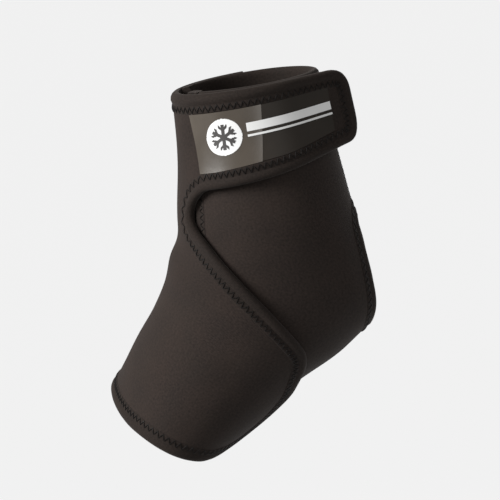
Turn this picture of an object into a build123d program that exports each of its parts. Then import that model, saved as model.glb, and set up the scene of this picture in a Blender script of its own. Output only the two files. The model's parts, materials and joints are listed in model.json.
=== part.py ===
"""Cold compression wrap for a left foot and ankle, closed as it is worn.

A neoprene boot with an open heel and open toes.  One base layer goes round the inner side, the
back of the leg and the outer side.  A front piece is sewn to the inner side and has two arms:
the ankle strap and the foot flap.  Both fold round to the outer side and close with hook pads.
Two gel packs lie inside, one over each ankle bone, and draw out through the leg opening.

Frame: +Z up along the shin, toes towards -Y, the outer side of the foot on +X.
Origin: centre of the leg opening.
"""

import os
from collections import namedtuple
from math import cos, degrees, hypot, radians, sin

from build123d import *

# ---------------------------------------------------------------- driving dimensions (mm)
foot_length = 235.0  # wearer's foot, heel to toe tip
ankle_width = 58.0  # clear width of the leg opening

neoprene = 4.0  # base layer and outer layer alike
layer_gap = 1.2  # room between base layer and outer layer, taken up by the hook pads
hook_pad = 0.8
hem_width = 8.0  # bound edges
binding_outside = 0.9  # how far a binding stands out from the neoprene
binding_inside = 0.5
hinge_gap = 1.6  # between the stiff parts of an arm, along the surface
hinge_reach = 3.0  # fold line, outside the outer layer's bindings

strap_height = 43.0
strap_edge_tilt = -2.5  # degrees that the strap's lower edge rises towards the back
strap_edge_ease = 1.6  # how much looser that edge sits at the front
strap_tab_length = 32.0  # free end that stands off the back of the leg
strap_tab_drop = 0.8  # how much lower the tab's top edge ends than the strap's
strap_tab_rise = 4.0  # how much higher its lower edge ends
strap_tab_round = 12.0

heel_opening_width = 34.0
heel_opening_height = 54.0
heel_opening_slope = 25.0  # degrees that the opening faces below level
heel_cut_inside = 30.0  # where the cut for the opening starts and ends, from its middle
heel_cut_outside = 40.0

label_film = 0.4
label_print = 0.15
emblem_width = 19.0
emblem_drop = 19.5  # below the top edge
mark_arm = 13.0
mark_stroke = 1.6
stripe_drop = 20.0
stripe_heights = (4.2, 1.2)
stripe_step = 5.2

pack_clearance = 1.6  # from the base layer's inner face to the pack
pack_thickness = 6.2
pack_film = 0.4
pack_hook = 0.6
pack_weld = 5.0

seam_tape = 0.6
care_label_thickness = 0.5
stitch_gap = 0.1  # room that stitching or welding leaves under a label, tape or pad

# Angles round a ring: 0 at the front of the leg and the top of the foot, 90 on the outer side,
# 180 at the back of the leg and the sole, 270 on the inner side.
lateral_edge = 27.0
lateral_hem_end = 40.0
medial_edge = 350.0
medial_hem_end = 338.0
back_seam = 180.0
back_tape_half = 5.0
sole_tape_half = 8.0
care_label_start = 228.0
care_label_end = 252.0
heel_binding_start = 110.0
heel_binding_end = 250.0
front_piece_start = -75.0
front_piece_seam = -85.0
front_piece_end = 28.0
strap_fold = 46.0
strap_leaves_leg = 125.0
label_start = 48.0
label_end = 122.0
emblem_angle = 67.0
stripe_start = 83.0
stripe_end = 118.0
strap_hook_start = 88.0
flap_side_fold = 66.0
flap_sole_fold = 119.0
flap_end = 150.0
flap_end_hem = 141.0
flap_hook_start = 124.0
flap_hook_end = 138.0
pack_start = 72.0
pack_end = 116.0
pack_hook_margin = 4.0
pack_hook_strip = 8.0

# Places on the side view (y, z), for a foot of 235: the middle of the heel opening, and the two
# ends of the foot flap's edge towards the heel, at the notch below the strap and at the sole.
heel_middle = (35.0, -110.0)
notch_front = -47.0
notch_below_strap = 18.0
flap_heel_corner = (-5.0, -137.0)

# ---------------------------------------------------------------- rings the wrap is draped over
# Each ring is an ellipse on the inner face of the base layer: its centre, the turn of its plane
# from level, the foot's own twist, and its two half sizes.  They are given for a foot of 235
# and an ankle opening of 58, and follow the driving dimensions from there.
Ring = namedtuple("Ring", "x y z tilt twist half_width half_depth")

length_share = foot_length / 235.0
width_share = ankle_width / 58.0


def ring(x, y, z, tilt, twist, half_width, half_depth):
    """A ring scaled to the wearer."""
    return Ring(
        x * width_share,
        y * length_share,
        z * length_share,
        tilt,
        twist,
        half_width * width_share,
        half_depth * length_share,
    )


def between(near, far, distance):
    """The ring that lies `distance` along the way from one ring to the next."""
    span = hypot(far.y - near.y, far.z - near.z)
    share = distance / span
    return Ring(*(a + (b - a) * share for a, b in zip(near, far)))


rim = ring(0, 0, 0, 0, 0, 29, 31)
strap_middle = ring(0, -2.2, -24, 2, 0, 31.3, 33.2)
above_ankle_bone = ring(0, -5.5, -51, 6.5, 0, 36.2, 36.7)
ankle_bone = ring(0, -7, -68, 12, 1, 40, 39.5)
upper_heel = ring(0, -7, -87, 19, 2, 41, 45)
lower_heel = ring(0, -11, -104, 27, 5, 40, 50)
arch = ring(-2, -25, -120, 34, 8, 40, 45)
midfoot = ring(-4, -45, -133, 40, 11, 40, 36.5)
forefoot = ring(-6, -68, -148, 45, 14, 41, 29)
toe = ring(-8, -93, -165, 47, 16, 42, 19.5)

rim_hem = between(rim, strap_middle, hem_width)
strap_level = between(rim, above_ankle_bone, strap_height)
strap_depth = strap_level.half_depth + strap_edge_ease
strap_edge = strap_level._replace(tilt=strap_edge_tilt, half_depth=strap_depth)
strap_hem = between(strap_edge, strap_middle, hem_width)
toe_hem = between(toe, forefoot, hem_width)

strap_rings = [rim_hem, strap_middle, strap_hem]
foot_rings = [above_ankle_bone, ankle_bone, upper_heel, lower_heel, arch, midfoot, forefoot, toe_hem]
body_rings = [rim_hem, strap_middle] + foot_rings
pack_rings = [above_ankle_bone, ankle_bone, upper_heel, lower_heel]

# Layers, as distances out from the inner face of the base layer.
base_inner = 0.0
base_outer = neoprene
base_binding = (base_inner - binding_inside, base_outer + binding_outside)
over_inner = base_outer + layer_gap
over_outer = over_inner + neoprene
over_layer = (over_inner, over_outer)
over_binding = (over_inner, over_outer + binding_outside)
seam_layer = (base_outer, over_binding[1])
over_hook = (over_inner - stitch_gap - hook_pad, over_inner - stitch_gap)
fold_line = over_binding[1] + hinge_reach
tape_layer = (base_inner - stitch_gap - seam_tape, base_inner - stitch_gap)
care_layer = (base_inner - stitch_gap - care_label_thickness, base_inner - stitch_gap)
film_layer = (over_outer, over_outer + label_film)
disc_layer = (film_layer[1], film_layer[1] + label_print)
mark_layer = (disc_layer[1], disc_layer[1] + label_print)
pack_layer = (-pack_clearance - pack_thickness, -pack_clearance)
gel_layer = (pack_layer[0] + pack_film, pack_layer[1] - pack_film)
pack_hook_layer = (pack_layer[1] + stitch_gap, pack_layer[1] + stitch_gap + pack_hook)


def ring_axes(r):
    """Directions of a ring: along the limb towards the toes, outwards, and to its front."""
    a = radians(r.tilt)
    i = radians(r.twist)
    along = Vector(0, -sin(a), -cos(a))
    front = Vector(0, -cos(a), sin(a))
    side = Vector(1, 0, 0)
    return along, side * cos(i) - front * sin(i), front * cos(i) + side * sin(i)


def ring_plane(r):
    along, side, front = ring_axes(r)
    return Plane(origin=(r.x, r.y, r.z), x_dir=side, z_dir=along)


def ring_point(r, angle, offset):
    """A point of the ring, in the wrap's own frame."""
    along, side, front = ring_axes(r)
    t = radians(angle)
    out = side * ((r.half_width + offset) * sin(t)) + front * ((r.half_depth + offset) * cos(t))
    return Vector(r.x, r.y, r.z) + out


def ring_arc(r, offset, start, end):
    """Points of the ring's ellipse in its own plane, about one each 10 degrees."""
    steps = max(3, round(abs(end - start) / 10))
    angles = [radians(start + (end - start) * k / steps) for k in range(steps + 1)]
    return [((r.half_width + offset) * sin(t), (r.half_depth + offset) * cos(t)) for t in angles]


def half_gap(r, layer):
    """Half of a fold's gap as an angle on a ring."""
    return degrees(hinge_gap / 2 / (min(r.half_width, r.half_depth) + layer[1]))


def sheet(rings, layer, start, end, start_gap=False, end_gap=False):
    """A stretch of sheet between two angles and two offsets, lofted through the rings."""
    inner, outer = layer
    with BuildPart() as piece:
        for r in rings:
            first = start + (half_gap(r, layer) if start_gap else 0)
            last = end - (half_gap(r, layer) if end_gap else 0)
            with BuildSketch(ring_plane(r)):
                with BuildLine():
                    outside = Spline(*ring_arc(r, outer, first, last))
                    inside = Spline(*ring_arc(r, inner, first, last))
                    Line(outside @ 0, inside @ 0)
                    Line(outside @ 1, inside @ 1)
                make_face()
        loft(ruled=True)
    return piece.part


# ---------------------------------------------------------------- base layer
heel_centre = Vector(0, heel_middle[0], heel_middle[1]) * length_share
heel_out = Vector(0, cos(radians(heel_opening_slope)), -sin(radians(heel_opening_slope)))
heel_plane = Plane(origin=heel_centre - heel_out * heel_cut_inside, x_dir=(1, 0, 0), z_dir=heel_out)
heel_reach = heel_cut_inside + heel_cut_outside


def base_panel(start, end):
    """One side of the base layer, with its half of the heel opening and that opening's hem."""
    with BuildPart() as panel:
        add(sheet(body_rings, (base_inner, base_outer), start, end))
        with BuildSketch(heel_plane):
            Ellipse(heel_opening_width / 2 + hem_width, heel_opening_height / 2 + hem_width)
        extrude(amount=heel_reach, mode=Mode.SUBTRACT)
    return panel.part


with BuildPart() as lateral_panel:
    add(base_panel(lateral_hem_end, back_seam))
lateral_panel.part.label = "lateral_panel"

with BuildPart() as medial_panel:
    add(base_panel(back_seam, medial_hem_end))
medial_panel.part.label = "medial_panel"

with BuildPart() as lateral_front_binding:
    add(sheet(body_rings, base_binding, lateral_edge, lateral_hem_end))
lateral_front_binding.part.label = "lateral_front_binding"

with BuildPart() as medial_front_binding:
    add(sheet(body_rings, base_binding, medial_hem_end, medial_edge))
medial_front_binding.part.label = "medial_front_binding"

with BuildPart() as leg_opening_binding:
    add(sheet([rim, rim_hem], base_binding, lateral_edge, medial_edge))
leg_opening_binding.part.label = "leg_opening_binding"

with BuildPart() as toe_opening_binding:
    add(sheet([toe_hem, toe], base_binding, lateral_edge, medial_edge))
toe_opening_binding.part.label = "toe_opening_binding"

heel_rings = [ankle_bone, upper_heel, lower_heel, arch, midfoot]
with BuildPart() as heel_opening_binding:
    with BuildSketch(heel_plane):
        Ellipse(heel_opening_width / 2 + hem_width, heel_opening_height / 2 + hem_width)
        Ellipse(heel_opening_width / 2, heel_opening_height / 2, mode=Mode.SUBTRACT)
    extrude(amount=heel_reach)
    add(sheet(heel_rings, base_binding, heel_binding_start, heel_binding_end), mode=Mode.INTERSECT)
heel_opening_binding.part.label = "heel_opening_binding"

back_tape = (back_seam - back_tape_half, back_seam + back_tape_half)
sole_tape = (back_seam - sole_tape_half, back_seam + sole_tape_half)
with BuildPart() as seam_tapes:
    add(sheet([rim_hem, strap_middle, above_ankle_bone, ankle_bone], tape_layer, *back_tape))
    add(sheet([midfoot, forefoot, toe_hem], tape_layer, *sole_tape))
seam_tapes.part.label = "seam_tapes"

with BuildPart() as care_label:
    add(sheet([rim_hem, strap_middle], care_layer, care_label_start, care_label_end))
care_label.part.label = "care_label"

# ---------------------------------------------------------------- front piece, sewn to the inner side
with BuildPart() as front_piece:
    add(sheet(body_rings, over_layer, front_piece_start, front_piece_end, False, True))
front_piece.part.label = "front_piece"

with BuildPart() as front_piece_seam_binding:
    add(sheet(body_rings, seam_layer, front_piece_seam, front_piece_start))
front_piece_seam_binding.part.label = "front_piece_seam_binding"

with BuildPart() as front_piece_hems:
    add(sheet([rim, rim_hem], over_binding, front_piece_seam, front_piece_end, False, True))
    add(sheet([toe_hem, toe], over_binding, front_piece_seam, front_piece_end, False, True))
front_piece_hems.part.label = "front_piece_hems"

# ---------------------------------------------------------------- ankle strap
with BuildPart() as strap_front:
    add(sheet(strap_rings, over_layer, front_piece_end, strap_fold, True, True))
strap_front.part.label = "strap_front"

with BuildPart() as strap_front_hems:
    add(sheet([rim, rim_hem], over_binding, front_piece_end, strap_fold, True, True))
    add(sheet([strap_hem, strap_edge], over_binding, front_piece_end, strap_fold, True, True))
strap_front_hems.part.label = "strap_front_hems"

# The tab runs straight on from where the strap leaves the leg.
tab_top = ring_point(rim, strap_leaves_leg, over_inner)
tab_foot = ring_point(strap_edge, strap_leaves_leg, over_inner)
tab_ahead = ring_point(strap_middle, strap_leaves_leg + 1, over_inner)
tab_along = (tab_ahead - ring_point(strap_middle, strap_leaves_leg, over_inner)).normalized()
tab_out = tab_along.cross((tab_top - tab_foot).normalized())
tab_plane = Plane(origin=tab_top, x_dir=tab_along, z_dir=tab_out)
tab_height = (tab_top - tab_foot).length
tab_lap = 1.0  # how far it runs back into the strap


def tab_face(inset):
    """Face of the tab, its free corners rounded, `inset` inside its bound edge."""
    top = -inset
    foot = -tab_height + inset
    end = strap_tab_length - inset
    with BuildSketch() as face:
        with BuildLine():
            Polyline(
                (-tab_lap, top),
                (end, top - strap_tab_drop),
                (end, foot + strap_tab_rise),
                (-tab_lap, foot),
                close=True,
            )
        make_face()
        fillet(face.vertices().group_by(Axis.X)[-1], strap_tab_round - inset)
    return face.sketch


with BuildPart() as strap_side:
    add(sheet(strap_rings, over_layer, strap_fold, strap_leaves_leg, True))
    with BuildSketch(tab_plane):
        add(tab_face(hem_width))
    extrude(amount=neoprene)
strap_side.part.label = "strap_side"

with BuildPart() as strap_side_hems:
    with BuildSketch(tab_plane):
        add(tab_face(0))
        add(tab_face(hem_width), mode=Mode.SUBTRACT)
    extrude(amount=neoprene + binding_outside)
    add(sheet([rim, rim_hem], over_binding, strap_fold, strap_leaves_leg, True))
    add(sheet([strap_hem, strap_edge], over_binding, strap_fold, strap_leaves_leg, True))
strap_side_hems.part.label = "strap_side_hems"

with BuildPart() as strap_hook_pad:
    add(sheet(strap_rings, over_hook, strap_hook_start, label_end))
strap_hook_pad.part.label = "strap_hook_pad"

# ---------------------------------------------------------------- label on the strap
with BuildPart() as label_patch:
    add(sheet(strap_rings, film_layer, label_start, label_end))
label_patch.part.label = "label_patch"


strap_middle_drop = hypot(strap_middle.y - rim.y, strap_middle.z - rim.z)


def strap_ring(drop):
    """The strap's ring that lies `drop` below its top edge."""
    if drop < strap_middle_drop:
        return between(rim, strap_middle, drop)
    return between(strap_middle, strap_edge, drop - strap_middle_drop)


def label_plane(angle, drop):
    """Plane that faces out of the strap at an angle, `drop` below its top edge."""
    centre = ring_point(strap_ring(drop), angle, 0)
    out = ring_point(strap_ring(drop), angle, over_outer) - centre
    return Plane(origin=centre, x_dir=Vector(0, 0, 1).cross(out), z_dir=out)


with BuildPart() as emblem_disc:
    with BuildSketch(label_plane(emblem_angle, emblem_drop)):
        Circle(emblem_width / 2)
    extrude(amount=2 * over_outer)
    add(sheet(strap_rings, disc_layer, label_start, label_end), mode=Mode.INTERSECT)
emblem_disc.part.label = "emblem_disc"

with BuildPart() as emblem_mark:
    with BuildSketch(label_plane(emblem_angle, emblem_drop)):
        for turn in (0, 60, 120):
            Rectangle(mark_stroke, mark_arm, rotation=turn)
    extrude(amount=2 * over_outer)
    add(sheet(strap_rings, mark_layer, label_start, label_end), mode=Mode.INTERSECT)
emblem_mark.part.label = "emblem_mark"

with BuildPart() as label_stripes:
    for k, height in enumerate(stripe_heights):
        top = stripe_drop + k * stripe_step
        stripe_rings = [strap_ring(top), strap_ring(top + height)]
        add(sheet(stripe_rings, disc_layer, stripe_start, stripe_end))
label_stripes.part.label = "label_stripes"

# ---------------------------------------------------------------- foot flap
edge_start = Vector(0, notch_front * length_share, strap_edge.z - notch_below_strap)
edge_end = Vector(0, flap_heel_corner[0], flap_heel_corner[1]) * length_share
towards_toes = (edge_end - edge_start).cross(Vector(1, 0, 0)).normalized()
flap_edge = Plane(origin=edge_start, x_dir=(1, 0, 0), z_dir=towards_toes)
flap_edge_hem = flap_edge.offset(hem_width)


def flap_sheet(start, end, start_gap, end_gap):
    """A stretch of the flap inside its hems."""
    with BuildPart() as piece:
        add(sheet(foot_rings, over_layer, start, end, start_gap, end_gap))
        split(bisect_by=flap_edge_hem, keep=Keep.TOP)
    return piece.part


def flap_hems(start, end, start_gap, end_gap):
    """The flap's bound edge towards the heel, and its bound edge at the toes."""
    with BuildPart() as piece:
        add(sheet(foot_rings, over_binding, start, end, start_gap, end_gap))
        split(bisect_by=flap_edge, keep=Keep.TOP)
        split(bisect_by=flap_edge_hem, keep=Keep.BOTTOM)
        add(sheet([toe_hem, toe], over_binding, start, end, start_gap, end_gap))
    return piece.part


with BuildPart() as flap_top:
    add(flap_sheet(front_piece_end, flap_side_fold, True, True))
flap_top.part.label = "flap_top"

with BuildPart() as flap_top_hems:
    add(flap_hems(front_piece_end, flap_side_fold, True, True))
flap_top_hems.part.label = "flap_top_hems"

with BuildPart() as flap_side:
    add(flap_sheet(flap_side_fold, flap_sole_fold, True, True))
flap_side.part.label = "flap_side"

with BuildPart() as flap_side_hems:
    add(flap_hems(flap_side_fold, flap_sole_fold, True, True))
flap_side_hems.part.label = "flap_side_hems"

with BuildPart() as flap_sole:
    add(flap_sheet(flap_sole_fold, flap_end_hem, True, False))
flap_sole.part.label = "flap_sole"

with BuildPart() as flap_sole_hems:
    add(flap_hems(flap_sole_fold, flap_end_hem, True, False))
    add(sheet(foot_rings + [toe], over_binding, flap_end_hem, flap_end))
    split(bisect_by=flap_edge, keep=Keep.TOP)
flap_sole_hems.part.label = "flap_sole_hems"

with BuildPart() as flap_hook_pad:
    add(sheet([midfoot, forefoot, toe_hem], over_hook, flap_hook_start, flap_hook_end))
flap_hook_pad.part.label = "flap_hook_pad"

# ---------------------------------------------------------------- gel packs
pack_pieces = []


def inset_rings(rings, inset):
    """The same rings, with the first and the last drawn in."""
    first = between(rings[0], rings[1], inset)
    last = between(rings[-1], rings[-2], inset)
    return [first] + rings[1:-1] + [last]


def on_side(side, start, end):
    """Two angles on the outer side, or those of their mirror image on the inner side."""
    return (start, end) if side == "lateral" else (360 - end, 360 - start)


pack_hook_starts = (pack_start + pack_hook_margin, pack_end - pack_hook_margin - pack_hook_strip)
weld_turn = degrees(pack_weld / ankle_bone.half_width)

for side in ("lateral", "medial"):
    gel_rings = inset_rings(pack_rings, pack_weld)
    with BuildPart() as gel:
        add(sheet(gel_rings, gel_layer, *on_side(side, pack_start + weld_turn, pack_end - weld_turn)))
    gel.part.label = f"{side}_pack_gel"

    with BuildPart() as pouch:
        add(sheet(pack_rings, pack_layer, *on_side(side, pack_start, pack_end)))
        add(gel.part, mode=Mode.SUBTRACT)
    pouch.part.label = f"{side}_pack_pouch"

    with BuildPart() as hooks:
        for turn in pack_hook_starts:
            strip = on_side(side, turn, turn + pack_hook_strip)
            add(sheet(pack_rings[1:3], pack_hook_layer, *strip))
    hooks.part.label = f"{side}_pack_hooks"
    pack_pieces += [gel, pouch, hooks]

# ---------------------------------------------------------------- files
pieces = [
    lateral_panel,
    medial_panel,
    lateral_front_binding,
    medial_front_binding,
    leg_opening_binding,
    toe_opening_binding,
    heel_opening_binding,
    seam_tapes,
    care_label,
    front_piece,
    front_piece_seam_binding,
    front_piece_hems,
    strap_front,
    strap_front_hems,
    strap_side,
    strap_side_hems,
    strap_hook_pad,
    label_patch,
    emblem_disc,
    emblem_mark,
    label_stripes,
    flap_top,
    flap_top_hems,
    flap_side,
    flap_side_hems,
    flap_sole,
    flap_sole_hems,
    flap_hook_pad,
] + pack_pieces

os.makedirs("parts", exist_ok=True)
for piece in pieces:
    export_step(piece.part, f"parts/{piece.part.label}.step")
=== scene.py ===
"""The looks of a cold compression wrap for a left foot and ankle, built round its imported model."""
import json
import math

import bmesh
import bpy
import numpy as np
from mathutils import Matrix, Vector


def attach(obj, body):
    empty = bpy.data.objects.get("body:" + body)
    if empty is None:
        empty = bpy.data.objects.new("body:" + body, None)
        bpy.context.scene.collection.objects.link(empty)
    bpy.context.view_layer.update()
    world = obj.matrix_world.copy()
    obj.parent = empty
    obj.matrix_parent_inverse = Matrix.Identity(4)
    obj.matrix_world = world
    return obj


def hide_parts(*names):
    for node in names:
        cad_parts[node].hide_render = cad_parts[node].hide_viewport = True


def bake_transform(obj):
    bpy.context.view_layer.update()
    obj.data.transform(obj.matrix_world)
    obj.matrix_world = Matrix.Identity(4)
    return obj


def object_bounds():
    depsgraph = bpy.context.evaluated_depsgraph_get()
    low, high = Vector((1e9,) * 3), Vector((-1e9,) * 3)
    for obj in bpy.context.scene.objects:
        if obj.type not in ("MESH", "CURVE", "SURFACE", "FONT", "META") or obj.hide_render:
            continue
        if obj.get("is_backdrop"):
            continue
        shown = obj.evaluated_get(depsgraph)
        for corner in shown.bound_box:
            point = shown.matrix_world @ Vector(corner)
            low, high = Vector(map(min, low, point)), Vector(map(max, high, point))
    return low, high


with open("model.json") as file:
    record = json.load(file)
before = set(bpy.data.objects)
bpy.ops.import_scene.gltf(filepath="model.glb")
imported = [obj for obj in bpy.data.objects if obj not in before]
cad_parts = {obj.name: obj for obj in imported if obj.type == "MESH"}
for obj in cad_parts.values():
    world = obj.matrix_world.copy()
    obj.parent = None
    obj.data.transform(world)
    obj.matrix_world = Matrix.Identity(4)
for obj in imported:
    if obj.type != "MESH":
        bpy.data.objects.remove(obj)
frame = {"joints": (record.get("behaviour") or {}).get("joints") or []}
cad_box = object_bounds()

# ------------------------------------------------------------------ the foot's form
# The wrap has no shape of its own: it takes the shape of the leg and foot inside it.
# Each ring is the inner face of the wrap at one place, in millimetres and degrees: its centre,
# the tilt of its plane, the twist of the foot there, and its two half sizes.
MM = 0.001
rings = np.array([
    (0, 0, 0, 0, 0, 29, 31),  # leg opening
    (0, -2.2, -24, 2, 0, 31.3, 33.2),
    (0, -5.5, -51, 6.5, 0, 36.2, 36.7),
    (0, -7, -68, 12, 1, 40, 39.5),  # ankle bones
    (0, -7, -87, 19, 2, 41, 45),
    (0, -11, -104, 27, 5, 40, 50),  # heel
    (-2, -25, -120, 34, 8, 40, 45),
    (-4, -45, -133, 40, 11, 40, 36.5),
    (-6, -68, -148, 45, 14, 41, 29),
    (-8, -93, -165, 47, 16, 42, 19.5),  # toe opening
], float)
ring_at = np.concatenate([[0], np.cumsum(np.hypot(*np.diff(rings[:, 1:3], axis=0).T))])
ring_slope = np.gradient(rings, ring_at, axis=0)
rim_s, toe_s = 0.0, ring_at[-1]
rim_rise, shin_rise, rise_reach = 2.0, 3.3, 45.0  # the opening rides up, most over the shin


def ring_values(s):
    """The ring at a distance s from the leg opening, on smooth curves through the rings above."""
    k = np.clip(np.searchsorted(ring_at, s) - 1, 0, len(ring_at) - 2)
    span = ring_at[k + 1] - ring_at[k]
    t = ((s - ring_at[k]) / span)[..., None]
    span = span[..., None]
    near = (2 * t**3 - 3 * t**2 + 1) * rings[k] + (t**3 - 2 * t**2 + t) * span * ring_slope[k]
    far = (3 * t**2 - 2 * t**3) * rings[k + 1] + (t**3 - t**2) * span * ring_slope[k + 1]
    return near + far


def relief(s, angle):
    """Shallow waves that the cloth keeps where it is drawn over the ankle, in millimetres."""
    a = np.radians(angle)
    slow = np.sin(s / 17 + 1.3 * np.sin(a * 2)) * np.sin(3 * a + s / 41)
    quick = np.sin(s / 7.5 - 2.2 * a) * np.sin(5 * a + 0.6)
    crease = np.exp(-(((s - 72) / 22) ** 2))
    return 0.28 * slow + (0.1 + 0.28 * crease) * quick


def wall(s, angle, out):
    """Points of the wrap: s along from the leg opening, angle round from the front towards the
    outer side, and out from the inner face of the base layer."""
    s, angle, out = np.broadcast_arrays(*(np.asarray(v, float) for v in (s, angle, out)))
    x, y, z, tilt, twist, wide, deep = np.moveaxis(ring_values(s), -1, 0)
    t, a, i = np.radians(angle), np.radians(tilt), np.radians(twist)
    out = out + relief(s, angle)
    side = (wide + out) * np.sin(t)
    front = (deep + out) * np.cos(t)
    across = side * np.cos(i) + front * np.sin(i)
    ahead = front * np.cos(i) - side * np.sin(i)
    z = z + (rim_rise + shin_rise * np.cos(t)) * np.clip(1 - s / rise_reach, 0, 1) ** 2
    return MM * np.stack([x + across, y - ahead * np.cos(a), z + ahead * np.sin(a)], -1)


# ------------------------------------------------------------------ base layer
# One layer of 4 mm neoprene faced with fine knit, in two halves joined up the back of the leg
# and along the sole. It is open at the heel and down the front, under the front piece.
base_inner, base_outer = 0.0, 4.0
front_edges = (27.0, 350.0)
back_seam = 180.0
heel_middle = np.array([0.0, 35.0, -110.0]) * MM
heel_slope = math.radians(25)  # the opening faces this far below level
heel_half = (17.0, 27.0)
heel_up = np.array([0, math.sin(heel_slope), math.cos(heel_slope)])
cell = 1.3  # of the cloth's mesh
arc_degree = 0.75  # millimetres for a degree round, on the whole
flat_degree = 0.72  # the same on the flat cloth
crease_angle = math.radians(55)  # sharper edges than this stay sharp


class Socket:
    """An output of a shader node. Arithmetic on it adds Math nodes to its material."""

    def __init__(self, tree, output=None):
        self.tree, self.output = tree, output

    def node(self, kind, settings, sockets, output=0):
        made = self.tree.nodes.new("ShaderNode" + kind)
        for name, value in settings.items():
            setattr(made, name, value)
        for key, value in sockets.items():
            if isinstance(value, Socket):
                self.tree.links.new(value.output, made.inputs[key])
            else:
                made.inputs[key].default_value = value
        return Socket(self.tree, made.outputs[output])

    def maths(self, operation, *terms):
        return self.node("Math", {"operation": operation}, dict(enumerate(terms)))

    def sine(self):
        return self.maths("SINE", self)

    def __add__(self, other):
        return self.maths("ADD", self, other)

    def __sub__(self, other):
        return self.maths("SUBTRACT", self, other)

    def __rsub__(self, other):
        return self.maths("SUBTRACT", other, self)

    def __mul__(self, other):
        return self.maths("MULTIPLY", self, other)

    __radd__ = __add__
    __rmul__ = __mul__

    def tint(self, first, second):
        """A colour between two, by this value."""
        return self.node("Mix", {"data_type": "RGBA"}, {0: self, 6: (*first, 1), 7: (*second, 1)}, 2)

    def feed(self, shader, name):
        """Links this value to one of a shader's own sockets."""
        self.tree.links.new(self.output, shader.inputs[name])


def finish(name, **constants):
    """A new material: its shader, with constants on it, and a socket to draw nodes from."""
    material = bpy.data.materials.new(name)
    material.use_nodes = True
    shader = material.node_tree.nodes["Principled BSDF"]
    for key, value in constants.items():
        shader.inputs[key.replace("_", " ")].default_value = value
    return material, shader, Socket(material.node_tree)


def knit(name, dark, light, wale, depth, sheen):
    """Fine stretch knit: wales and courses from the cloth's own map, and a little mottling."""
    material, shader, draw = finish(
        name, Sheen_Weight=sheen, Sheen_Roughness=0.45, Sheen_Tint=(0.9, 0.8, 0.74, 1),
        Specular_IOR_Level=0.12)
    cloth = draw.node("UVMap", {"uv_map": "cloth"}, {})
    along = draw.node("SeparateXYZ", {}, {0: cloth}, 0)
    around = draw.node("SeparateXYZ", {}, {0: cloth}, 1)
    turn = 2 * math.pi / wale
    wales = (around * turn).sine()
    courses = (along * (turn * 0.8) + wales * 0.9).sine()
    loops = wales * 0.5 + courses * 0.35
    patches = draw.node("TexNoise", {}, {"Vector": cloth, "Scale": 60.0, "Detail": 4.0})
    fluff = draw.node("TexNoise", {}, {"Vector": cloth, "Scale": 900.0, "Detail": 3.0})
    shade = patches * 0.7 + fluff * 1.3 + loops * 0.12 - 0.5
    shade.tint(dark, light).feed(shader, "Base Color")
    rough = 0.72 + patches * 0.2
    rough.feed(shader, "Roughness")
    height = loops * 0.5 + fluff * 0.8
    bump = draw.node("Bump", {}, {"Height": height, "Strength": 0.5, "Distance": depth})
    bump.feed(shader, "Normal")
    return material


knit_face = knit("knit_face", (0.0075, 0.0052, 0.0042), (0.0265, 0.0185, 0.0150),
                 wale=0.00055, depth=0.00012, sheen=0.05)


def mesh_object(name, points, faces, material, cloth_map=None, normals=None):
    """A smooth mesh. cloth_map gives each point's place on the flat cloth, in metres."""
    mesh = bpy.data.meshes.new(name)
    mesh.from_pydata(points.reshape(-1, 3).tolist(), [], [list(f) for f in faces])
    mesh.polygons.foreach_set("use_smooth", np.ones(len(mesh.polygons), bool))
    if cloth_map is not None:
        corner = np.zeros(len(mesh.loops), int)
        mesh.loops.foreach_get("vertex_index", corner)
        flat = mesh.uv_layers.new(name="cloth")
        flat.data.foreach_set("uv", cloth_map.reshape(-1, 2)[corner].astype(np.float32).ravel())
    mesh.materials.append(material)
    mesh.update()
    if normals is None:
        mesh.set_sharp_from_angle(angle=crease_angle)
    else:
        mesh.normals_split_custom_set_from_vertices(normals.reshape(-1, 3).tolist())
    made = bpy.data.objects.new(name, mesh)
    bpy.context.scene.collection.objects.link(made)
    return made


def grid(s_from, s_to, angle_from, angle_to, step=cell):
    """An even grid on the wrap, as s and angle at each point."""
    s = np.linspace(s_from, s_to, max(2, round((s_to - s_from) / step) + 1))
    angle = np.linspace(angle_from, angle_to, max(2, round((angle_to - angle_from) * arc_degree / step) + 1))
    return np.meshgrid(s, angle, indexing="ij")


def centres(s, angle):
    """Middle of each cell of a grid."""
    return [(v[1:, 1:] + v[:-1, :-1]) / 2 for v in (s, angle)]


nudge = 0.3  # a small move along or round, to feel which way the cloth lies


def facing(place, s, angle, out):
    """Outward directions of the cloth at those places."""
    along = place(s + nudge, angle, out) - place(s - nudge, angle, out)
    round_it = place(s, angle + nudge, out) - place(s, angle - nudge, out)
    normal = np.cross(along, round_it)
    return normal / np.linalg.norm(normal, axis=-1, keepdims=True)


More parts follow.
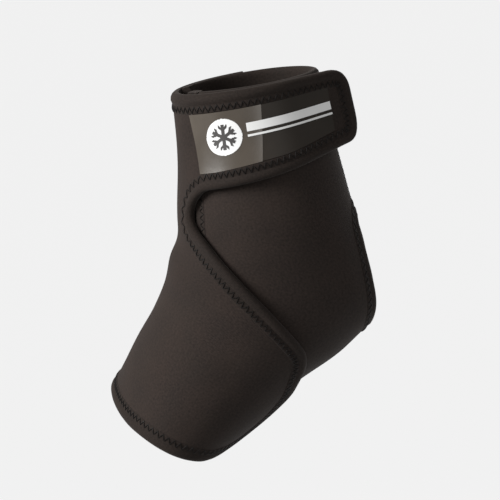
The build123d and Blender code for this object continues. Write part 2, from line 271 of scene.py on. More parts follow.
def layer(name, s, angle, keep, inner, outer, material, place=wall):
    """A closed layer of cloth, on the cells of the grid that keep marks."""
    rows, columns = s.shape
    number = np.arange(rows * columns).reshape(rows, columns)
    quads = np.stack([number[:-1, :-1], number[1:, :-1], number[1:, 1:], number[:-1, 1:]], -1)[keep]
    edges = np.concatenate([np.stack([quads[:, k], quads[:, (k + 1) % 4]], 1) for k in range(4)])
    code = edges[:, 0] * number.size + edges[:, 1]
    back = edges[:, 1] * number.size + edges[:, 0]
    rim = edges[~np.isin(code, back)]
    under = number.size
    walls = np.stack([rim[:, 1], rim[:, 0], rim[:, 0] + under, rim[:, 1] + under], 1)
    faces = np.concatenate([quads, quads[:, ::-1] + under, walls])
    points = np.concatenate([place(s, angle, o).reshape(-1, 3) for o in (outer, inner)])
    out_way = facing(place, s, angle, outer).reshape(-1, 3)
    normals = np.concatenate([out_way, -out_way])
    flat = np.stack([s * MM, angle * flat_degree * MM], -1).reshape(-1, 2)
    used = np.unique(faces)
    new = np.zeros(2 * under, int)
    new[used] = np.arange(len(used))
    cloth_map = np.concatenate([flat, flat])[used]
    return mesh_object(name, points[used], new[faces], material, cloth_map, normals[used])


def heel_share(s, angle, grow):
    """Below 1 inside the heel opening, grown by some millimetres, and far above 1 elsewhere."""
    point = wall(s, angle, base_outer / 2)
    across = point[..., 0] / ((heel_half[0] + grow) * MM)
    up = (point - heel_middle) @ heel_up / ((heel_half[1] + grow) * MM)
    behind = abs(angle - back_seam) < 75
    return np.where(behind, np.hypot(across, up), 9.0)


tucked = 5.0  # the cloth's edge lies this far inside its binding
front_cover = 2.0  # degrees more at the front edges
for name, node, body_from, body_to in (
    ("outer_side", "lateral_panel", front_edges[0] + tucked + front_cover, back_seam),
    ("inner_side", "medial_panel", back_seam, front_edges[1] - tucked - front_cover),
):
    s, angle = grid(rim_s + tucked, toe_s - tucked, body_from, body_to)
    keep = heel_share(*centres(s, angle), tucked) > 1
    side = layer(name, s, angle, keep, base_inner, base_outer, knit_face)
    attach(side, "wrap")
    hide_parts(node)

# ------------------------------------------------------------------ bound edges of the base layer
# Each edge is bound with folded stretch knit. The fold makes a soft roll, and the leaf inside it
# is sewn down with a zigzag.
binding_knit = knit("binding_knit", (0.0060, 0.0042, 0.0033), (0.0212, 0.0150, 0.0120),
                    wale=0.0007, depth=0.00012, sheen=0.06)
thread_finish, thread_shader, draw = finish("thread", Roughness=0.6, Specular_IOR_Level=0.15)
spun = draw.node("TexNoise", {}, {"Scale": 700.0, "Detail": 2.0})
spun.tint((0.0015, 0.0011, 0.0009), (0.0075, 0.0055, 0.0045)).feed(thread_shader, "Base Color")
zigzag_pitch = 3.4
zigzag_from, zigzag_to = 5.4, 8.5  # from the edge
thread_thick = 0.42
leaf_top = 0.42  # how high the stitches lie on the binding's leaf


def steps_in(place, path, out, turn):
    """How s and angle change for one millimetre inwards from each point of a path. turn is 1
    where inwards is on the left of the way along it, seen from outside, and -1 on the right."""
    s, angle = path.T
    by_s = (place(s + nudge, angle, out) - place(s - nudge, angle, out)) / (2 * nudge)
    by_angle = (place(s, angle + nudge, out) - place(s, angle - nudge, out)) / (2 * nudge)
    up = np.cross(by_s, by_angle)
    up /= np.linalg.norm(up, axis=1, keepdims=True)
    ahead = np.gradient(place(s, angle, out), axis=0)
    inwards = turn * np.cross(up, ahead)
    inwards *= MM / np.linalg.norm(inwards, axis=1, keepdims=True)
    a, b, c = (by_s * by_s).sum(1), (by_s * by_angle).sum(1), (by_angle * by_angle).sum(1)
    p, q = (by_s * inwards).sum(1), (by_angle * inwards).sum(1)
    return np.stack([c * p - b * q, a * q - b * p], 1) / (a * c - b * b)[:, None]


def spaced(place, path, step, out=base_outer):
    """The same path with evenly spaced points, and their distances along it."""
    run = np.linalg.norm(np.diff(place(*path.T, out), axis=0), axis=1) / MM
    at = np.concatenate([[0], np.cumsum(run)])
    distance = np.linspace(0, at[-1], max(2, round(at[-1] / step) + 1))
    return np.stack([np.interp(distance, at, v) for v in path.T], 1), distance


def strip(name, runs, section, material, place=wall):
    """A long piece of one cross-section. Each run is (path, steps inwards, distances), and the
    section's points are (from the edge, out), in order round it."""
    inset, out = np.array(section, float).T
    points, faces, flat, first = [], [], [], 0
    round_at = np.concatenate([[0], np.cumsum(np.hypot(np.diff(inset), np.diff(out)))])
    for path, inwards, distance in runs:
        spots = path[:, None, :] + inwards[:, None, :] * inset[None, :, None]
        points.append(place(spots[..., 0], spots[..., 1], out[None, :]).reshape(-1, 3))
        n, m = len(path), len(section)
        number = first + np.arange(n * m).reshape(n, m)
        beside = np.roll(number, -1, axis=1)
        quads = np.stack([number[:-1], number[1:], beside[1:], beside[:-1]], -1).reshape(-1, 4)
        faces += quads.tolist() + [number[0].tolist(), number[-1, ::-1].tolist()]
        flat.append(np.stack(np.broadcast_arrays(distance[:, None], round_at[None]), -1).reshape(-1, 2))
        first += n * m
    points = np.concatenate(points)
    made = mesh_object(name, points, faces, material, np.concatenate(flat) * MM)
    outwards(made.data)
    return made


def outwards(mesh):
    """Turns a closed mesh's faces to look out of it."""
    work = bmesh.new()
    work.from_mesh(mesh)
    bmesh.ops.recalc_face_normals(work, faces=work.faces)
    work.to_mesh(mesh)
    work.free()
    mesh.update()


def threads(name, starts, ends, up, material, thick=thread_thick, lift=0.25):
    """Short threads from starts to ends, each arched a little off the cloth."""
    stations, sides = 5, 6
    t = np.linspace(0, 1, stations)[None, :, None]
    middle = starts[:, None] * (1 - t) + ends[:, None] * t
    middle = middle + up[:, None] * (np.sin(math.pi * t) * 1.3 - 0.45) * lift * MM
    ahead = ends - starts
    ahead /= np.linalg.norm(ahead, axis=1, keepdims=True)
    across = np.cross(ahead, up)
    across /= np.linalg.norm(across, axis=1, keepdims=True)
    turn = np.linspace(0, 2 * math.pi, sides, endpoint=False)
    spoke = (across[:, None] * np.cos(turn)[None, :, None] + up[:, None] * np.sin(turn)[None, :, None])
    points = middle[:, :, None] + spoke[:, None] * thick / 2 * MM
    number = np.arange(points[..., 0].size).reshape(points.shape[:3])
    beside = np.roll(number, -1, axis=2)
    quads = np.stack([number[:, :-1], number[:, 1:], beside[:, 1:], beside[:, :-1]], -1).reshape(-1, 4)
    faces = quads.tolist() + number[:, 0].tolist() + number[:, -1, ::-1].tolist()
    made = mesh_object(name, points, faces, material)
    outwards(made.data)
    return made


def zigzag(place, path, inwards, distance, out, pitch=zigzag_pitch, across=(zigzag_from, zigzag_to)):
    """Starts, ends and upward directions of the threads of a zigzag along a path."""
    count = max(2, 2 * round(distance[-1] / pitch))
    at = np.linspace(distance[0], distance[-1], count + 1)
    spots = [np.interp(at, distance, v) for v in (*path.T, *inwards.T)]
    inset = np.where(np.arange(count + 1) % 2, across[1], across[0])
    s, angle = spots[0] + inset * spots[2], spots[1] + inset * spots[3]
    points = place(s, angle, out)
    up = facing(place, s, angle, out)
    return points[:-1], points[1:], up[:-1]


def rolled(inner, outer, full=0.9):
    """Cross-section of a bound edge, round from the stitched leaf over the roll."""
    middle = (inner + outer) / 2
    return [
        (9.0, outer - 0.15), (8.8, outer + 0.22), (8.3, outer + 0.32), (5.9, outer + 0.3),
        (5.1, outer + 0.08), (4.5, outer + 0.45), (3.2, outer + full), (1.8, outer + full * 0.8),
        (0.7, outer), (0.1, middle + 0.9), (0.0, middle - 0.2),
        (0.4, inner + 0.5), (1.5, inner), (3.2, inner - 0.25), (9.0, inner + 0.1)]


def bound_edge(name, path, turn, node):
    """A bound edge of the base layer along a path, with its zigzag. turn is as in steps_in."""
    even, distance = spaced(wall, path, 1.6)
    inwards = steps_in(wall, even, base_outer, turn)
    edge = strip(name, [(even, inwards, distance)], rolled(base_inner, base_outer), binding_knit)
    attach(edge, "wrap")
    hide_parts(node)
    sewn = zigzag(wall, even, inwards, distance, base_outer + leaf_top)
    stitches = threads(name + "_zigzag", *sewn, thread_finish)
    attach(stitches, "wrap")


def straight(start, end, count=60):
    """A path on the wrap from one (s, angle) to another."""
    return np.linspace(start, end, count)


outer_front, inner_front = front_edges
bound_edge("leg_opening_edge", straight((rim_s, outer_front), (rim_s, inner_front)), -1,
           "leg_opening_binding")
bound_edge("toe_opening_edge", straight((toe_s, outer_front), (toe_s, inner_front)), 1, "toe_opening_binding")
bound_edge("outer_front_edge", straight((rim_s, outer_front), (toe_s, outer_front), 160), 1,
           "lateral_front_binding")
bound_edge("inner_front_edge", straight((rim_s, inner_front), (toe_s, inner_front), 160), -1,
           "medial_front_binding")

turn = np.linspace(0, 2 * math.pi, 121)
aim_x, aim_up = heel_half[0] * MM * np.sin(turn), heel_half[1] * MM * np.cos(turn)
heel_path = np.stack([112 - 20 * np.cos(turn), 180 - 22 * np.sin(turn)], 1)  # roughly
walks, stride = 30, 0.6
for _ in range(walks):  # moves each point to where the opening's outline meets the cloth
    s, angle = heel_path.T
    tries = [wall(s + ds, angle + da, base_outer) for ds, da in ((0, 0), (1, 0), (0, 1))]
    (x, x_s, x_a), (up, up_s, up_a) = ([p[:, 0] for p in tries], [(p - heel_middle) @ heel_up for p in tries])
    xs, xa, us, ua = x_s - x, x_a - x, up_s - up, up_a - up
    gap_x, gap_up, scale = aim_x - x, aim_up - up, xs * ua - xa * us
    step = np.stack([ua * gap_x - xa * gap_up, xs * gap_up - us * gap_x], 1) / scale[:, None]
    heel_path += stride * step
bound_edge("heel_opening_edge", heel_path, -1, "heel_opening_binding")

# ------------------------------------------------------------------ seams, tapes and the blank label
# The two halves butt together and are joined by a flat seam, taped inside. A blank satin label
# is sewn in at the leg opening.
tape_finish = knit("seam_tape_face", (0.018, 0.018, 0.020), (0.050, 0.050, 0.055),
                   wale=0.0009, depth=0.0001, sheen=0.1)
satin, satin_shader, draw = finish("satin", Roughness=0.45, Sheen_Weight=0.3)
rib = draw.node("TexWave", {"wave_type": "BANDS"}, {"Scale": 380.0, "Distortion": 0.4})
rib.tint((0.62, 0.61, 0.58), (0.74, 0.73, 0.70)).feed(satin_shader, "Base Color")

seam_runs = [straight((first, back_seam), (last, back_seam)) for first, last in ((8, 72), (154, 200))]
seam_pitch, seam_half = 2.4, 2.2
flat_seam = []
for path in seam_runs:
    even, distance = spaced(wall, path, 1.5)
    inwards = steps_in(wall, even, base_outer, 1)
    flat_seam.append(zigzag(wall, even, inwards, distance, base_outer + 0.12,
                            seam_pitch, (-seam_half, seam_half)))
seam = threads("back_seam_stitches", *(np.concatenate(v) for v in zip(*flat_seam)), thread_finish)
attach(seam, "wrap")

tape_runs = []
for path in seam_runs:
    even, distance = spaced(wall, path, 2.0, base_inner)
    tape_runs.append((even, steps_in(wall, even, base_inner, 1), distance))
tape_section = [(-4.5, -0.05), (4.5, -0.05), (4.9, -0.3), (4.2, -0.6), (-4.2, -0.6), (-4.9, -0.3)]
tapes = strip("seam_tape_strips", tape_runs, tape_section, tape_finish)
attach(tapes, "wrap")
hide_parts("seam_tapes")

label_s, label_angles = (8.5, 25.0), (229.0, 251.0)
label_out = (-0.7, -0.25)
s, angle = grid(*label_s, *label_angles, 1.0)
blank = layer("blank_label", s, angle, np.ones(s[1:, 1:].shape, bool), *label_out, satin)
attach(blank, "wrap")
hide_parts("care_label")

# ------------------------------------------------------------------ gel packs
# Two welded film pouches filled with blue gel, one over each ankle bone. Two hook strips on
# each hold it to the lining, and it draws out through the leg opening to be chilled.
pack_s, pack_angles = (51.5, 104.5), (72.5, 115.5)
pack_middle = -4.7
pack_half_thick = 2.9
pack_weld = 5.0
pack_degree = 0.7  # millimetres for a degree round, at the packs
welded_half, filled_half, swell = 0.25, 1.6, 9.0  # the pouch before it is filled
welded_inside, held_inside = 2.0, 1.5  # how far inside the weld's edge it starts to rise and is held
hook_strip_s, hook_strip_starts, hook_strip_degrees = (69.0, 86.5), (76.0, 104.0), 8.0
hook_strip_out = (-1.75, -0.95)
film, film_shader, draw = finish("pack_film", Roughness=0.16, Coat_Weight=0.5, Coat_Roughness=0.08,
                                 Specular_IOR_Level=0.5)
cloud = draw.node("TexNoise", {}, {"Scale": 70.0, "Detail": 3.0})
cloud.tint((0.05, 0.18, 0.46), (0.10, 0.32, 0.66)).feed(film_shader, "Base Color")
dimple = draw.node("Bump", {}, {"Height": cloud, "Strength": 0.2, "Distance": 0.0008})
dimple.feed(film_shader, "Normal")
hook_finish, hook_shader, draw = finish("hook_tape", Roughness=0.6)
studs = draw.node("TexVoronoi", {"feature": "F1"}, {"Scale": 1300.0})
studs.tint((0.05, 0.05, 0.05), (0.008, 0.008, 0.008)).feed(hook_shader, "Base Color")
bristle = draw.node("Bump", {"invert": True}, {"Height": studs, "Strength": 0.8, "Distance": 0.0006})
bristle.feed(hook_shader, "Normal")


def fill_with_gel(pouch, pinned):
    """Blows the pouch up as cloth under pressure, held along its weld. Gives its new points."""
    group = pouch.vertex_groups.new(name="weld")
    group.add([int(k) for k in np.flatnonzero(pinned)], 1.0, "ADD")
    cloth = pouch.modifiers.new("gel", "CLOTH")
    cloth.settings.quality = 6
    cloth.settings.mass = 0.3
    cloth.settings.use_pressure = True
    cloth.settings.uniform_pressure_force = 4.0
    cloth.settings.vertex_group_mass = "weld"
    cloth.settings.effector_weights.gravity = 0.0
    cloth.settings.tension_stiffness = 12.0
    cloth.settings.bending_stiffness = 0.4
    for moment in range(1, 21):
        bpy.context.scene.frame_set(moment)
    graph = bpy.context.evaluated_depsgraph_get()
    blown = pouch.evaluated_get(graph).to_mesh()
    points = np.zeros(len(blown.vertices) * 3)
    blown.vertices.foreach_get("co", points)
    pouch.evaluated_get(graph).to_mesh_clear()
    pouch.modifiers.remove(cloth)
    bpy.context.scene.frame_set(1)
    return points.reshape(-1, 3)


for side, turned in (("lateral", lambda a: a), ("medial", lambda a: 360 - a)):
    s, angle = grid(*pack_s, *sorted(map(turned, pack_angles)), 1.6)
    rim_gap = np.minimum.reduce([s - s[0, 0], s[-1, 0] - s, (angle - angle[0, 0]) * pack_degree,
                                 (angle[0, -1] - angle) * pack_degree])
    crown = np.clip((rim_gap - pack_weld + welded_inside) / swell, 0, 1)
    crown = welded_half + filled_half * crown * (2 - crown)
    every = np.ones(s[1:, 1:].shape, bool)
    pouch = layer(f"{side}_gel_pack", s, angle, every, pack_middle - crown, pack_middle + crown, film)
    pinned = np.tile((rim_gap < pack_weld - held_inside).ravel(), 2)
    blown = fill_with_gel(pouch, pinned)
    outward = np.tile(facing(wall, s, angle, pack_middle).reshape(-1, 3), (2, 1))
    middle = np.tile(wall(s, angle, pack_middle).reshape(-1, 3), (2, 1))
    rise = np.clip(((blown - middle) * outward).sum(1), -pack_half_thick * MM, pack_half_thick * MM)
    blown = middle + outward * rise[:, None]
    pouch.data.vertices.foreach_set("co", blown.ravel())
    pouch.data.update()
    pouch.data.attributes.remove(pouch.data.attributes["custom_normal"])
    pouch.data.set_sharp_from_angle(angle=crease_angle)
    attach(pouch, f"{side}_pack")
    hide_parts(f"{side}_pack_pouch", f"{side}_pack_gel")
    for number, start in enumerate(hook_strip_starts):
        borders = sorted((turned(start), turned(start + hook_strip_degrees)))
        s, angle = grid(*hook_strip_s, *borders, 0.9)
        pad = layer(f"{side}_pack_hook_strip_{number + 1}", s, angle, np.ones(s[1:, 1:].shape, bool),
                    *hook_strip_out, hook_finish)
        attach(pad, f"{side}_pack")
        if number == 0:
            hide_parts(f"{side}_pack_hooks")

# ------------------------------------------------------------------ outer layer: front piece and arms
# One cut of neoprene, sewn to the inner side along a lapped seam. Its upper arm is the ankle
# strap with a free tab, its lower arm the foot flap. One bound edge runs all the way round it.
over_inner, over_outer = 5.2, 9.2
strap_leaves_leg = 125.0
tab_degree = 0.7  # millimetres of tab for each degree past where it leaves the leg
notch_s = 58.0  # above this is the strap, below it the flap
seam_angles = (-85.0, -75.0)


def over(s, angle, out):
    """Points of the outer layer: as the wall, but the strap runs straight on as its tab."""
    s, angle, out = np.broadcast_arrays(*(np.asarray(v, float) for v in (s, angle, out)))
    on_tab = (s < notch_s) & (angle > strap_leaves_leg)
    held = wall(s, np.where(on_tab, strap_leaves_leg, angle), out)
    ahead = wall(s, strap_leaves_leg, over_inner) - wall(s, strap_leaves_leg - 1, over_inner)
    ahead /= np.linalg.norm(ahead, axis=-1, keepdims=True)
    past = np.where(on_tab, (angle - strap_leaves_leg) * tab_degree, 0.0)
    return held + ahead * past[..., None] * MM


def rounded(corners):
    """A path through corners (s, angle, radius), each rounded off."""
    path = [np.array([corners[0][:2]], float)]
    scale = np.array([1.0, arc_degree])  # millimetres for each step of s and of angle
    for before, here, after in zip(corners, corners[1:], corners[2:]):
        middle, radius = np.array(here[:2], float), here[2]
        ends = []
        for other in (before, after):
            way = np.array(other[:2], float) - middle
            ends.append(middle + way * min(0.5, radius / np.linalg.norm(way * scale)))
        t = np.linspace(0, 1, 9)[:, None]
        path.append((1 - t) ** 2 * ends[0] + 2 * t * (1 - t) * middle + t**2 * ends[1])
    path.append(np.array([corners[-1][:2]], float))
    return np.concatenate(path)


outline = rounded([
    (0, seam_angles[0], 0),
    (0, 60, 20),
    (0, 125, 20),
    (0.8, 172, 12),  # tab
    (36.5, 171, 12),
    (38, 152, 10),
    (41.5, 119, 20),
    (44, 92, 20),
    (46, 58, 16),
    (46.5, 47, 5),  # notch
    (54, 34, 8),
    (64, 29.5, 6),
    (72, 34, 6),
    (77, 40.5, 8),
    (92, 55, 12),
    (106, 70, 16),
    (119, 91, 16),
    (128, 110, 9),  # flap's corner
    (135, 118.5, 5),
    (145, 128, 8),
    (156, 140, 10),
    (174, 147, 12),
    (192, 144, 12),
    (203, 124, 12),  # at the toes
    (206.5, 92, 14),
    (209.5, 50, 20),
    (212.5, 20, 20),
    (212.0, -20, 20),
    (toe_s, seam_angles[0], 0),
])
outline, outline_at = spaced(over, outline, 1.3, over_outer)
outline_in = steps_in(over, outline, over_outer, -1)


def inside(s, angle, polygon):
    """Whether each place lies inside a closed outline."""
    found = np.zeros(s.shape, bool)
    for (s1, a1), (s2, a2) in zip(polygon, np.roll(polygon, -1, axis=0)):
        crosses = (a1 > angle) != (a2 > angle)
        if crosses.any():
            found ^= crosses & (s < s1 + (angle - a1) * (s2 - s1) / (a2 - a1 + 1e-12))
    return found


# The stretches that move by themselves: their bodies and the angles between which the fold from
# one to the other lies, and the nodes that their cloth and their bound edge stand for.
stretches = {
    "front_piece": (("wrap",), "front_piece", "front_piece_hems"),
    "strap_root": (("wrap", "strap_front", (27, 36.5)), "strap_front", "strap_front_hems"),
    "ankle_strap": (("strap_front", "strap_side", (37.5, 54.5)), "strap_side", "strap_side_hems"),
    "flap_root": (("wrap", "flap_top", (27, 46)), "flap_top", "flap_top_hems"),
    "foot_flap": (("flap_top", "flap_side", (55, 77)), "flap_side", "flap_side_hems"),
    "flap_end": (("flap_side", "flap_sole", (107, 131)), "flap_sole", "flap_sole_hems"),
}


front_piece_ends, strap_starts, flap_starts, flap_end_starts = 0.0, 37.0, 50.0, 98.0
strap_fold_s, flap_fold_s = 24.0, 130.0


def stretch_of(s, angle):
    """Which stretch a place belongs to."""
    names = np.array(list(stretches))
    upper = np.where(angle < strap_starts, 1, 2)
    lower = np.where(angle < flap_starts, 3, np.where(angle < flap_end_starts, 4, 5))
    return names[np.where(angle < front_piece_ends, 0, np.where(s < notch_s, upper, lower))]


def fold_points(body, fold_from, fold_to):
    """Two points either side of the fold that moves a body, square across its axis."""
    joint = next(j for j in frame["joints"] if j["child"] == body)
    axis = np.array(joint["axis"], float)
    axis /= np.linalg.norm(axis)
    s = strap_fold_s if body.startswith("strap") else flap_fold_s
    middle = (over_inner + over_outer) / 2
    first, last = wall(s, fold_from, middle), wall(s, fold_to, middle)
    across = last - first
    across -= axis * (across @ axis)
    return first, first + across


def moves(piece, stretch):
    """Fixes a piece to its stretch's body when the stretch has one; a piece of a stretch between two bodies
    is only baked where it stands, fixed to neither.
    """
    bodies = stretches[stretch][0]
    if len(bodies) == 1:
        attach(piece, bodies[0])
    else:
        fold_points(bodies[1], *bodies[2])
        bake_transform(piece)


s, angle = grid(rim_s, toe_s + 4, seam_angles[1] - 4, 172, 1.2)
middle_s, middle_angle = centres(s, angle)
cloth_edge = outline + tucked * outline_in
covered = inside(middle_s, middle_angle, cloth_edge)
home = stretch_of(middle_s, middle_angle)
for stretch, (bodies, sheet_node, hem_node) in stretches.items():
    keep = covered & (home == stretch)
    cloth = layer(stretch + "_cloth", s, angle, keep, over_inner, over_outer, knit_face, over)
    moves(cloth, stretch)
    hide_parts(sheet_node)

    here = stretch_of(*outline.T) == stretch
    runs = []
    ends = np.flatnonzero(np.diff(np.concatenate([[0], here.astype(int), [0]])))
    for first, last in zip(ends[::2], ends[1::2]):
        part = slice(first, min(last + 1, len(outline)))
        if part.stop - part.start >= 3:
            runs.append((outline[part], outline_in[part], outline_at[part]))
    edge = strip(stretch + "_edge", runs, rolled(over_inner, over_outer), binding_knit, over)
    moves(edge, stretch)
    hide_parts(hem_node)

starts, ends, ups = zigzag(over, outline, outline_in, outline_at, over_outer + leaf_top)
count = len(starts)
along = np.interp(np.arange(count) + 0.5, [0, count], [0, outline_at[-1]])
owner = stretch_of(*(np.interp(along, outline_at, v) for v in outline.T))
for stretch in stretches:
    own = owner == stretch
    stitches = threads(stretch + "_zigzag", starts[own], ends[own], ups[own], thread_finish)
    moves(stitches, stretch)

# The lapped seam on the inner side: a bound strip, with a zigzag along its inner edge.
lap_angle, lap_short = seam_angles[0] - 0.5, 0.5
lap_line = straight((rim_s + lap_short, lap_angle), (toe_s - lap_short, lap_angle), 200)
seam_path, seam_at = spaced(over, lap_line, 1.5, over_outer)
seam_in = steps_in(over, seam_path, over_outer, 1)
lap = [(9.0, 9.0), (8.7, 9.45), (7.6, 9.6), (4.0, 9.4), (1.8, 8.6), (0.5, 6.9), (0.0, 5.2),
       (0.2, 4.3), (1.2, 4.05), (9.0, 5.3)]
lapped = strip("lapped_seam", [(seam_path, seam_in, seam_at)], lap, binding_knit, over)
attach(lapped, "wrap")
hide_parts("front_piece_seam_binding")
lap_sewn = zigzag(over, seam_path, seam_in, seam_at, 9.7, across=(5.2, 8.2))
lap_sewing = threads("lapped_seam_zigzag", *lap_sewn, thread_finish)
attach(lap_sewing, "wrap")

# ------------------------------------------------------------------ hook pads of the two arms
# Hook tape sewn to the inner face of the strap and of the flap. It grips the knit of the layer
# below and closes the wrap.
hook_out = (4.35, 5.12)  # in the gap between the two layers
for name, node, body, pad_s, pad_angles in (
    ("strap_hooks", "strap_hook_pad", "strap_side", (9.0, 33.0), (88, 122)),
    ("flap_hooks", "flap_hook_pad", "flap_sole", (151.0, 196.0), (125, 137)),
):
    s, angle = grid(*pad_s, *pad_angles, 1.0)
    pad = layer(name, s, angle, np.ones(s[1:, 1:].shape, bool), *hook_out, hook_finish)
    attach(pad, body)
    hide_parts(node)

# ------------------------------------------------------------------ label on the strap
# One glossy film is welded onto the strap's front half and carries on to the tab. It is drawn as two copies:
# the front half has a lighter base colour, which is a painted reflection, and the tab half is darker and
# duller, which is painted shade.
# On them are printed a plain white disc with a cold star, and two plain stripes.
# Front half of the label film: its base colour is lighter than the film's own colour, a painted reflection.
gloss, gloss_shader, draw = finish("label_film", Roughness=0.28, Coat_Weight=0.35, Coat_Roughness=0.2,
                                   Specular_IOR_Level=0.55)
map_place = draw.node("UVMap", {"uv_map": "cloth"}, {})
smear = draw.node("TexNoise", {}, {"Vector": map_place, "Scale": 38.0, "Detail": 5.0})
smear.tint((0.024, 0.018, 0.012), (0.072, 0.056, 0.040)).feed(gloss_shader, "Base Color")
(0.2 + smear * 0.25).feed(gloss_shader, "Roughness")
ripple = draw.node("Bump", {}, {"Height": smear, "Strength": 0.3, "Distance": 0.0006})
ripple.feed(gloss_shader, "Normal")
# The tab half of the same film, given a darker base colour and less gloss as painted shade.
film_painted_shade, film_painted_shade_shader, draw = finish("label_film_painted_shade", Roughness=0.45, Coat_Weight=0.04,
                                             Coat_Roughness=0.3, Specular_IOR_Level=0.14)
map_place = draw.node("UVMap", {"uv_map": "cloth"}, {})
smear = draw.node("TexNoise", {}, {"Vector": map_place, "Scale": 45.0, "Detail": 5.0})
smear.tint((0.008, 0.006, 0.004), (0.026, 0.020, 0.015)).feed(film_painted_shade_shader, "Base Color")
ripple = draw.node("Bump", {}, {"Height": smear, "Strength": 0.3, "Distance": 0.0006})
ripple.feed(film_painted_shade_shader, "Normal")
white_print, white_shader, draw = finish("white_print", Roughness=0.4)
wear = draw.node("TexNoise", {}, {"Scale": 500.0, "Detail": 4.0})
wear.tint((0.58, 0.58, 0.575), (0.70, 0.70, 0.69)).feed(white_shader, "Base Color")
dark_print, dark_shader, draw = finish("dark_print", Roughness=0.45)
wear = draw.node("TexNoise", {}, {"Scale": 600.0, "Detail": 3.0})
wear.tint((0.018, 0.016, 0.015), (0.035, 0.031, 0.029)).feed(dark_shader, "Base Color")
film_top, print_top, ink_top = over_outer + 0.35, over_outer + 0.55, over_outer + 0.7
sunk = 0.1  # how far each print reaches down into what it lies on


def fixed_label(piece, node):
    """Handles a label as moves handles the ankle strap's pieces, baking it where it stands, and hides the
    part it stands for, if one is named.
    """
    moves(piece, "ankle_strap")
    if node:
        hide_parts(node)


def film_patch(name, left, right, top, bottom, material):
    """A film between two slanting borders. left and right are angles at its top and bottom."""
    down, across = np.meshgrid(np.linspace(0, 1, 36), np.linspace(0, 1, 60), indexing="ij")
    angle = (left[0] + (left[1] - left[0]) * down) * (1 - across)
    angle = angle + (right[0] + (right[1] - right[0]) * down) * across
    s = np.interp(across, (0, 1), top) * (1 - down) + np.interp(across, (0, 0.3, 1), bottom) * down
    whole = np.ones(s[1:, 1:].shape, bool)
    return layer(name, s, angle, whole, over_outer - sunk, film_top, material, over)


film_sheet = film_patch("label_film_sheet", left=(39.0, 45.0), right=(96.5, 91.5), top=(8.6, 8.4),
                        bottom=(37.2, 36.8, 34.8), material=gloss)
fixed_label(film_sheet, "label_patch")
# Tab half of the film, drawn darker as painted shade.
film_painted_shade_sheet = film_patch("label_film_painted_shade", left=(96.7, 91.7), right=(151.0, 149.0), top=(8.4, 8.6),
                        bottom=(34.6, 34.0, 29.8), material=film_painted_shade)
fixed_label(film_painted_shade_sheet, None)

emblem_s, emblem_angle, emblem_wide = 20.4, 67.0, 19.0
half_s, half_angle = 10.5, 14.5  # of the grid that it is cut from
around = 0.71  # millimetres for a degree round the strap
stretched = 1.1  # how much the cloth is drawn out downwards here
star_arm, star_half, branch_at, branch_wide = 6.5, 0.75, 3.6, 2.3
s, angle = grid(emblem_s - half_s, emblem_s + half_s, emblem_angle - half_angle, emblem_angle + half_angle,
                0.25)
down, aside = (s - emblem_s) * stretched, (angle - emblem_angle) * around
middle_down, middle_aside = centres(down, aside)
disc_rim = np.hypot(middle_down, middle_aside)
disc = layer("emblem_disc_print", s, angle, disc_rim < emblem_wide / 2, film_top - sunk, print_top,
             white_print, over)
fixed_label(disc, "emblem_disc")
star = np.zeros(disc_rim.shape, bool)
for degrees in (0, 60, 120):
    c, d = math.cos(math.radians(degrees)), math.sin(math.radians(degrees))
    length, width = middle_down * c + middle_aside * d, middle_aside * c - middle_down * d
    within = abs(length) < star_arm
    beyond = (abs(length) - branch_at) - abs(width)
    star |= within & (abs(width) < star_half)
    star |= within & (abs(beyond) < star_half) & (abs(width) < branch_wide)
star_mark = layer("emblem_star_print", s, angle, star, print_top - sunk, ink_top, dark_print, over)
fixed_label(star_mark, "emblem_mark")

stripe_angles, stripes_s = (84.0, 150.0), ((15.5, 19.7), (20.8, 22.0))
s, angle = grid(14.0, 26.0, *stripe_angles, 0.5)
middle_s, _ = centres(s, angle)
bands = np.zeros(middle_s.shape, bool)
for first, last in stripes_s:
    bands |= (middle_s > first) & (middle_s < last)
stripes = layer("label_stripes_print", s, angle, bands, over_outer - sunk, print_top, white_print, over)
fixed_label(stripes, "label_stripes")

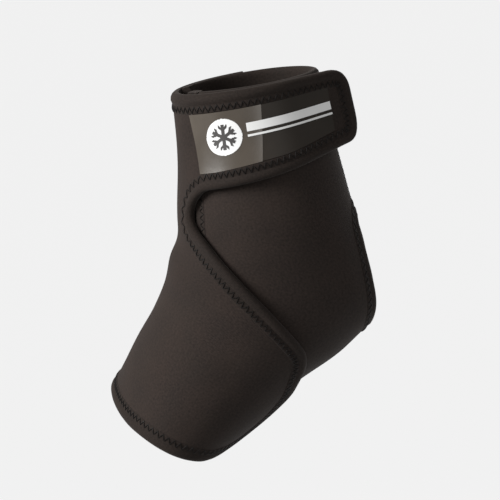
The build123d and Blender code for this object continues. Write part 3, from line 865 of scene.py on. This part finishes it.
# ------------------------------------------------------------------ studio
# A wide, evenly pale floor far below, which the wrap's gloss reflects but which casts no light on
# the cloth, a large soft light on the toes' side and a weak one on the outer side.
floor_mesh = bpy.data.meshes.new("floor")
half = 30.0
floor_drop = 0.32
floor_z = cad_box[0].z - floor_drop
floor_mesh.from_pydata([(-half, -half, floor_z), (half, -half, floor_z), (half, half, floor_z),
                        (-half, half, floor_z)], [], [(0, 1, 2, 3)])
floor = bpy.data.objects.new("floor", floor_mesh)
bpy.context.scene.collection.objects.link(floor)
floor_finish, _, _ = finish("floor", Roughness=1.0, Specular_IOR_Level=0.0,
                            Base_Color=(0.01, 0.01, 0.01, 1),
                            Emission_Color=(1, 1, 1, 1), Emission_Strength=0.872)
floor_mesh.materials.append(floor_finish)
floor.visible_diffuse = False
floor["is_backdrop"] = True

world = bpy.data.worlds.new("studio")
bpy.context.scene.world = world
world.use_nodes = True
world.node_tree.nodes["Background"].inputs["Color"].default_value = (0.878, 0.878, 0.878, 1)
world.node_tree.nodes["Background"].inputs["Strength"].default_value = 0.34
bpy.context.scene.view_settings.view_transform = "Standard"

eye = Vector((0.9919, 0.0346, 0.1219))
target = Vector((0.0097, -0.0220, -0.0834))
roll = math.radians(-15.232)
lens = 139.4
camera_data = bpy.data.cameras.new("camera")
camera_data.lens = lens
camera_data.sensor_width = 36.0
camera = bpy.data.objects.new("camera", camera_data)
bpy.context.scene.collection.objects.link(camera)
back = (eye - target).normalized()
right = Vector((0, 0, 1)).cross(back).normalized()
up = back.cross(right)
turned_right = right * math.cos(roll) + up * math.sin(roll)
turned_up = up * math.cos(roll) - right * math.sin(roll)
axes = Matrix((turned_right, turned_up, back)).transposed().to_4x4()
camera.matrix_world = Matrix.Translation(eye) @ axes
bpy.context.scene.camera = camera

for name, place, power, size in (
    ("key", (0.45, -1.10, 0.80), 42.0, 0.7),
    ("fill", (1.3, 0.4, 0.35), 5.0, 0.9),
):
    light = bpy.data.lights.new(name, "AREA")
    light.energy, light.size = power, size
    lamp = bpy.data.objects.new(name, light)
    bpy.context.scene.collection.objects.link(lamp)
    lamp.location = place
    lamp.rotation_mode = "QUATERNION"
    lamp.rotation_quaternion = (target - Vector(place)).to_track_quat("-Z", "Y")

size = {"cad": [list(corner) for corner in cad_box], "visual": [list(corner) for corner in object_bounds()]}
